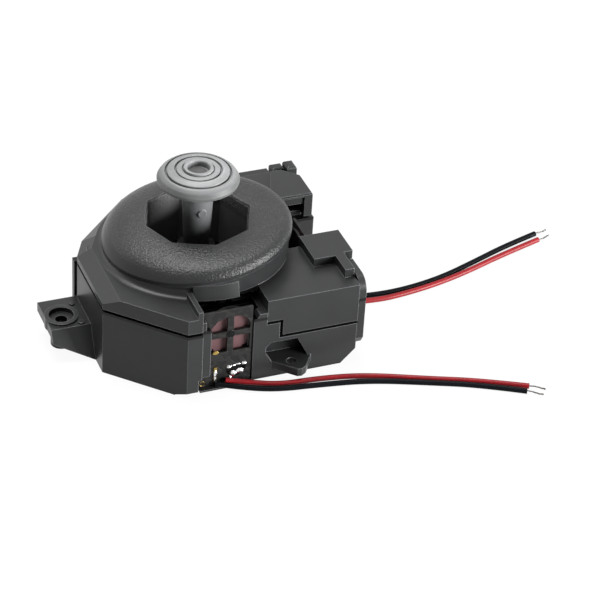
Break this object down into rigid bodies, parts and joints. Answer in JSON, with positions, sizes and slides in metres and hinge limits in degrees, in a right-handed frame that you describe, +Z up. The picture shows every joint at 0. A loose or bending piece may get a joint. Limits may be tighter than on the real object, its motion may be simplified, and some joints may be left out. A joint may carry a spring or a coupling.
{
  "type": "analog stick module",
  "caption": "Two-axis analog stick in a dark housing with an octagonal gate, optical wheels behind an open sensor board, screw ears and bare-ended wires.",
  "frame": {"origin": "on the flat underside of the housing, below the middle of the stick", "axes": "+Z up along the stick at rest, +X to the right along the front face that carries the open board, +Y to the back"},
  "size_m": [0.1166, 0.0684, 0.0369],
  "materials": {
    "housing_plastic": "fine grained moulded plastic",
    "cover_plastic": "fine grained moulded plastic, smooth on the dome wall",
    "plate_plastic": "smooth moulded plastic",
    "stick_plastic": "light grey moulded plastic, satin",
    "spring_steel": "dark spring wire",
    "black_acetal": "smooth black acetal",
    "wheel_plastic": "dull reddish brown plastic",
    "axle_steel": "ground steel",
    "board_laminate": "dark solder mask on laminate",
    "sensor_epoxy": "dark moulded epoxy",
    "gold_plate": "gold plated",
    "solder_metal": "bright solder",
    "screw_steel": "zinc plated",
    "red_insulation": "satin wire insulation",
    "black_insulation": "satin wire insulation",
    "tinned_copper": "tinned copper strand"
  },
  "bodies": {
    "housing": {"lower_housing": "housing_plastic", "upper_cover": "cover_plastic", "end_plate": "plate_plastic", "bowl": "black_acetal", "wheel_axle_front": "axle_steel", "wheel_axle_right": "axle_steel", "sensor_board_front": "board_laminate", "sensor_board_right": "board_laminate", "emitter_front": "sensor_epoxy", "emitter_right": "sensor_epoxy", "detector_front": "sensor_epoxy", "detector_right": "sensor_epoxy", "contacts_front": "gold_plate", "contacts_right": "gold_plate", "solder_front": "solder_metal", "solder_right": "solder_metal", "case_screws": "screw_steel", "front_red_wire": "red_insulation", "front_black_wire": "black_insulation", "rear_red_wire": "red_insulation", "rear_black_wire": "black_insulation", "front_red_strand": "tinned_copper", "front_black_strand": "tinned_copper", "rear_red_strand": "tinned_copper", "rear_black_strand": "tinned_copper"},
    "rocker_lr": {"rocker_left_right": "black_acetal"},
    "rocker_fb": {"rocker_front_back": "black_acetal"},
    "stick": {"thumb_stick": "stick_plastic", "return_spring": "spring_steel", "spring_seat": "black_acetal", "spring_cup": "black_acetal"},
    "wheel_front": {"code_wheel_front": "wheel_plastic"},
    "wheel_right": {"code_wheel_right": "wheel_plastic"}
  },
  "joints": [
    {"name": "stick_left_right", "type": "hinge", "parent": "housing", "child": "rocker_lr", "pos_m": [0, 0, 0.00624], "axis": [0, 1, 0], "range_deg": [-14.5, 14.5], "stiffness_Nm_per_rad": 0.02},
    {"name": "stick_front_back", "type": "hinge", "parent": "rocker_lr", "child": "stick", "pos_m": [0, 0, 0.00624], "axis": [1, 0, 0], "range_deg": [-14.5, 14.5], "stiffness_Nm_per_rad": 0.02},
    {"name": "rocker_front_back_tilt", "type": "hinge", "parent": "housing", "child": "rocker_fb", "pos_m": [0, 0, 0.00624], "axis": [1, 0, 0], "range_deg": [-14.5, 14.5]},
    {"name": "wheel_front_spin", "type": "hinge", "parent": "housing", "child": "wheel_front", "pos_m": [-0.00065, -0.019, 0.0122], "axis": [0, 1, 0], "range_deg": [-36, 36]},
    {"name": "wheel_right_spin", "type": "hinge", "parent": "housing", "child": "wheel_right", "pos_m": [0.019, -0.00065, 0.0122], "axis": [1, 0, 0], "range_deg": [-36, 36]}
  ],
  "couplings": [
    {"joint": "rocker_front_back_tilt", "follows": "stick_front_back", "ratio": 1},
    {"joint": "wheel_front_spin", "follows": "stick_left_right", "ratio": -2.3333},
    {"joint": "wheel_right_spin", "follows": "stick_front_back", "ratio": -2.3333}
  ]
}
